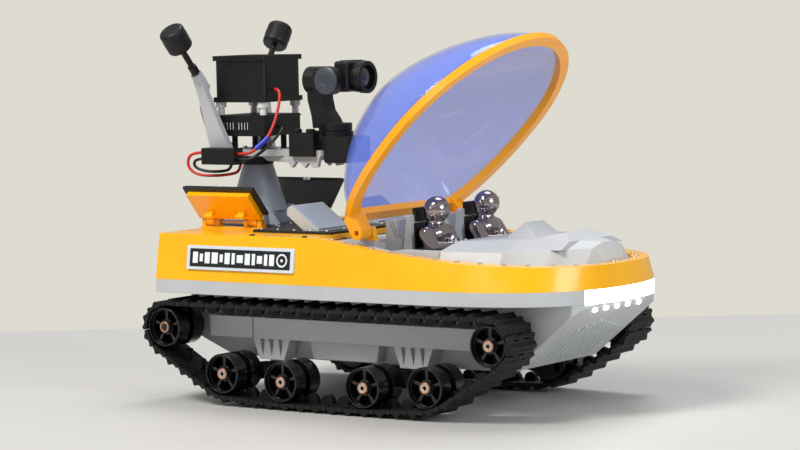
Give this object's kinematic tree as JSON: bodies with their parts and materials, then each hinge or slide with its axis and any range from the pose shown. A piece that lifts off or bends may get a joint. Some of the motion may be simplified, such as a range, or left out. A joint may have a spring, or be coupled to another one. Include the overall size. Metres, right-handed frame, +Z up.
{
  "type": "tracked tank chassis",
  "caption": "Tracked rover chassis with boat hull, rocker bogies, link tracks, tilting bubble canopy, camera gimbal and fan mast",
  "frame": {"origin": "ground level, under the middle of the bounding box", "axes": "+X to the bow, +Y to port, +Z up"},
  "size_m": [0.2928, 0.156, 0.2238],
  "materials": {
    "grey_plastic": "satin printed light grey",
    "yellow_plastic": "semi-gloss warm yellow",
    "blue_glazing": "clear blue",
    "mirror_chrome": "mirror",
    "lamp_lens": "frosted, lit",
    "dark_plate": "satin black",
    "steel_fasteners": "satin",
    "label": "pale frame",
    "black_plastic": "satin black",
    "nylon": "translucent white",
    "wheel_plastic": "semi-gloss black",
    "track_plastic": "black",
    "wire_insulation": "silicone",
    "motor_metal": "satin",
    "battery_wrap": "shrink wrap",
    "circuit_board": "solder mask"
  },
  "bodies": {
    "hull": {"antennas": "black_plastic", "battery": "battery_wrap", "cockpit_deck": "grey_plastic", "control_electronics": "circuit_board", "deck_screws": "steel_fasteners", "drive_motors": "motor_metal", "fan_frame": "black_plastic", "fan_standoffs": "nylon", "gimbal_base": "black_plastic", "head_plate": "grey_plastic", "headlight_bar": "lamp_lens", "hinge_brackets": "yellow_plastic", "hinge_pins": "steel_fasteners", "idler_axles": "steel_fasteners", "inline_connector": "black_plastic", "lower_hull": "grey_plastic", "nameplates": "label", "pedestal": "grey_plastic", "pilot_figures": "mirror_chrome", "pilot_seats": "grey_plastic", "power_leads": "wire_insulation", "rear_deck_plate": "dark_plate", "side_beams": "grey_plastic", "suspension_brackets": "grey_plastic", "track_left": "track_plastic", "track_pins": "steel_fasteners", "track_right": "track_plastic", "upper_hull": "yellow_plastic", "vent_pods": "grey_plastic", "video_transmitter": "black_plastic"},
    "canopy": {"canopy_bubble": "blue_glazing", "canopy_frame": "yellow_plastic"},
    "fan": {"fan_rotor": "black_plastic"},
    "gimbal_yaw": {"gimbal_yaw_arm": "black_plastic"},
    "gimbal_roll": {"gimbal_roll_arm": "black_plastic"},
    "camera": {"gimbal_camera": "black_plastic"},
    "panel_right": {"panel_tray_right": "yellow_plastic", "panel_plate_right": "dark_plate"},
    "panel_left": {"panel_tray_left": "yellow_plastic", "panel_plate_left": "dark_plate"},
    "bogie_rear_right": {"bogie_rear_right": "black_plastic", "bogie_axles_rear_right": "steel_fasteners"},
    "bogie_front_right": {"bogie_front_right": "black_plastic", "bogie_axles_front_right": "steel_fasteners"},
    "drive_wheel_right": {"drive_wheel_right": "wheel_plastic"},
    "road_1_wheel_right": {"road_1_wheel_right": "wheel_plastic"},
    "road_2_wheel_right": {"road_2_wheel_right": "wheel_plastic"},
    "road_3_wheel_right": {"road_3_wheel_right": "wheel_plastic"},
    "road_4_wheel_right": {"road_4_wheel_right": "wheel_plastic"},
    "idler_wheel_right": {"idler_wheel_right": "wheel_plastic"},
    "bogie_rear_left": {"bogie_rear_left": "black_plastic", "bogie_axles_rear_left": "steel_fasteners"},
    "bogie_front_left": {"bogie_front_left": "black_plastic", "bogie_axles_front_left": "steel_fasteners"},
    "drive_wheel_left": {"drive_wheel_left": "wheel_plastic"},
    "road_1_wheel_left": {"road_1_wheel_left": "wheel_plastic"},
    "road_2_wheel_left": {"road_2_wheel_left": "wheel_plastic"},
    "road_3_wheel_left": {"road_3_wheel_left": "wheel_plastic"},
    "road_4_wheel_left": {"road_4_wheel_left": "wheel_plastic"},
    "idler_wheel_left": {"idler_wheel_left": "wheel_plastic"}
  },
  "joints": [
    {"name": "canopy_hinge", "type": "hinge", "parent": "hull", "child": "canopy", "pos_m": [-0.00158, 0, 0.102], "axis": [0, 1, 0], "range_deg": [0, 50]},
    {"name": "fan_spin", "type": "hinge", "parent": "hull", "child": "fan", "pos_m": [-0.11367, 0, 0.19], "axis": [0, 0, 1], "continuous": true},
    {"name": "gimbal_yaw_turn", "type": "hinge", "parent": "hull", "child": "gimbal_yaw", "pos_m": [-0.05477, 0, 0.16], "axis": [0, 0, 1], "range_deg": [-40, 40]},
    {"name": "gimbal_roll_turn", "type": "hinge", "parent": "gimbal_yaw", "child": "gimbal_roll", "pos_m": [-0.05838, 0, 0.188], "axis": [1, 0, 0], "range_deg": [-30, 30]},
    {"name": "gimbal_tilt_turn", "type": "hinge", "parent": "gimbal_roll", "child": "camera", "pos_m": [-0.04877, 0, 0.188], "axis": [0, 1, 0], "range_deg": [-25, 30]},
    {"name": "panel_hinge_right", "type": "hinge", "parent": "hull", "child": "panel_right", "pos_m": [-0.11058, -0.031, 0.104], "axis": [1, 0, 0], "range_deg": [-30, 30]},
    {"name": "panel_hinge_left", "type": "hinge", "parent": "hull", "child": "panel_left", "pos_m": [-0.11058, 0.031, 0.104], "axis": [-1, 0, 0], "range_deg": [-30, 30]},
    {"name": "bogie_pivot_rear_right", "type": "hinge", "parent": "hull", "child": "bogie_rear_right", "pos_m": [-0.06507, -0.0505, 0.02], "axis": [0, 1, 0], "range_deg": [-8, 8]},
    {"name": "bogie_pivot_front_right", "type": "hinge", "parent": "hull", "child": "bogie_front_right", "pos_m": [0.03592, -0.0505, 0.02], "axis": [0, 1, 0], "range_deg": [-8, 8]},
    {"name": "drive_spin_right", "type": "hinge", "parent": "hull", "child": "drive_wheel_right", "pos_m": [-0.12918, -0.065, 0.0443], "axis": [0, 1, 0], "continuous": true, "deforming": ["track_right", "track_pins"]},
    {"name": "road_1_spin_right", "type": "hinge", "parent": "bogie_rear_right", "child": "road_1_wheel_right", "pos_m": [-0.08647, -0.065, 0.0187], "axis": [0, 1, 0], "continuous": true},
    {"name": "road_2_spin_right", "type": "hinge", "parent": "bogie_rear_right", "child": "road_2_wheel_right", "pos_m": [-0.04367, -0.065, 0.0162], "axis": [0, 1, 0], "continuous": true},
    {"name": "road_3_spin_right", "type": "hinge", "parent": "bogie_front_right", "child": "road_3_wheel_right", "pos_m": [0.01452, -0.065, 0.0162], "axis": [0, 1, 0], "continuous": true},
    {"name": "road_4_spin_right", "type": "hinge", "parent": "bogie_front_right", "child": "road_4_wheel_right", "pos_m": [0.05733, -0.065, 0.0187], "axis": [0, 1, 0], "continuous": true},
    {"name": "idler_spin_right", "type": "hinge", "parent": "hull", "child": "idler_wheel_right", "pos_m": [0.10003, -0.065, 0.0443], "axis": [0, 1, 0], "continuous": true},
    {"name": "bogie_pivot_rear_left", "type": "hinge", "parent": "hull", "child": "bogie_rear_left", "pos_m": [-0.06507, 0.0505, 0.02], "axis": [0, 1, 0], "range_deg": [-8, 8]},
    {"name": "bogie_pivot_front_left", "type": "hinge", "parent": "hull", "child": "bogie_front_left", "pos_m": [0.03592, 0.0505, 0.02], "axis": [0, 1, 0], "range_deg": [-8, 8]},
    {"name": "drive_spin_left", "type": "hinge", "parent": "hull", "child": "drive_wheel_left", "pos_m": [-0.12918, 0.065, 0.0443], "axis": [0, 1, 0], "continuous": true, "deforming": ["track_left"]},
    {"name": "road_1_spin_left", "type": "hinge", "parent": "bogie_rear_left", "child": "road_1_wheel_left", "pos_m": [-0.08647, 0.065, 0.0187], "axis": [0, 1, 0], "continuous": true},
    {"name": "road_2_spin_left", "type": "hinge", "parent": "bogie_rear_left", "child": "road_2_wheel_left", "pos_m": [-0.04367, 0.065, 0.0162], "axis": [0, 1, 0], "continuous": true},
    {"name": "road_3_spin_left", "type": "hinge", "parent": "bogie_front_left", "child": "road_3_wheel_left", "pos_m": [0.01452, 0.065, 0.0162], "axis": [0, 1, 0], "continuous": true},
    {"name": "road_4_spin_left", "type": "hinge", "parent": "bogie_front_left", "child": "road_4_wheel_left", "pos_m": [0.05733, 0.065, 0.0187], "axis": [0, 1, 0], "continuous": true},
    {"name": "idler_spin_left", "type": "hinge", "parent": "hull", "child": "idler_wheel_left", "pos_m": [0.10003, 0.065, 0.0443], "axis": [0, 1, 0], "continuous": true}
  ],
  "couplings": [
    {"joint": "road_1_spin_right", "follows": "drive_spin_right", "ratio": 1},
    {"joint": "road_2_spin_right", "follows": "drive_spin_right", "ratio": 1},
    {"joint": "road_3_spin_right", "follows": "drive_spin_right", "ratio": 1},
    {"joint": "road_4_spin_right", "follows": "drive_spin_right", "ratio": 1},
    {"joint": "idler_spin_right", "follows": "drive_spin_right", "ratio": 1},
    {"joint": "road_1_spin_left", "follows": "drive_spin_left", "ratio": 1},
    {"joint": "road_2_spin_left", "follows": "drive_spin_left", "ratio": 1},
    {"joint": "road_3_spin_left", "follows": "drive_spin_left", "ratio": 1},
    {"joint": "road_4_spin_left", "follows": "drive_spin_left", "ratio": 1},
    {"joint": "idler_spin_left", "follows": "drive_spin_left", "ratio": 1}
  ]
}
